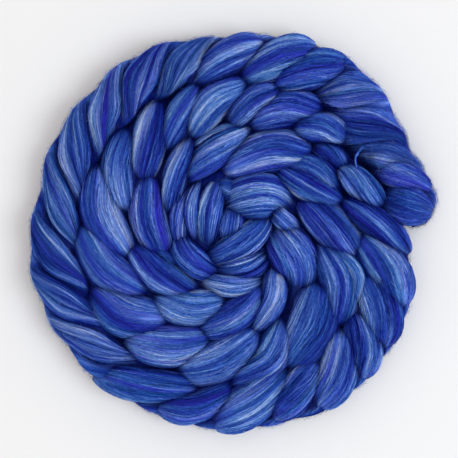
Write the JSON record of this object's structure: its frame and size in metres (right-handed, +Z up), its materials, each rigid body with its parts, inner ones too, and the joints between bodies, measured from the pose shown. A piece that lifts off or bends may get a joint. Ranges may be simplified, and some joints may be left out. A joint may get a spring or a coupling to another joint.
{
  "type": "wool roving",
  "caption": "Soft combed wool roving, doubled and twisted into a thick two-ply rope and coiled flat in a close spiral, from its loose blunt tail to its heart.",
  "frame": {"origin": "middle of the coil's box, on the surface that the coil lies on", "axes": "+Z up, +X towards the side where the loose tail lies, and from the tail inwards the spiral turns counter-clockwise, seen from above"},
  "size_m": [0.2658, 0.2589, 0.029],
  "materials": {
    "wool": "soft, combed fibres with a silky sheen, in streaks of blue"
  },
  "bodies": {
    "root": {"roving_coil": "wool"}
  },
  "joints": []
}
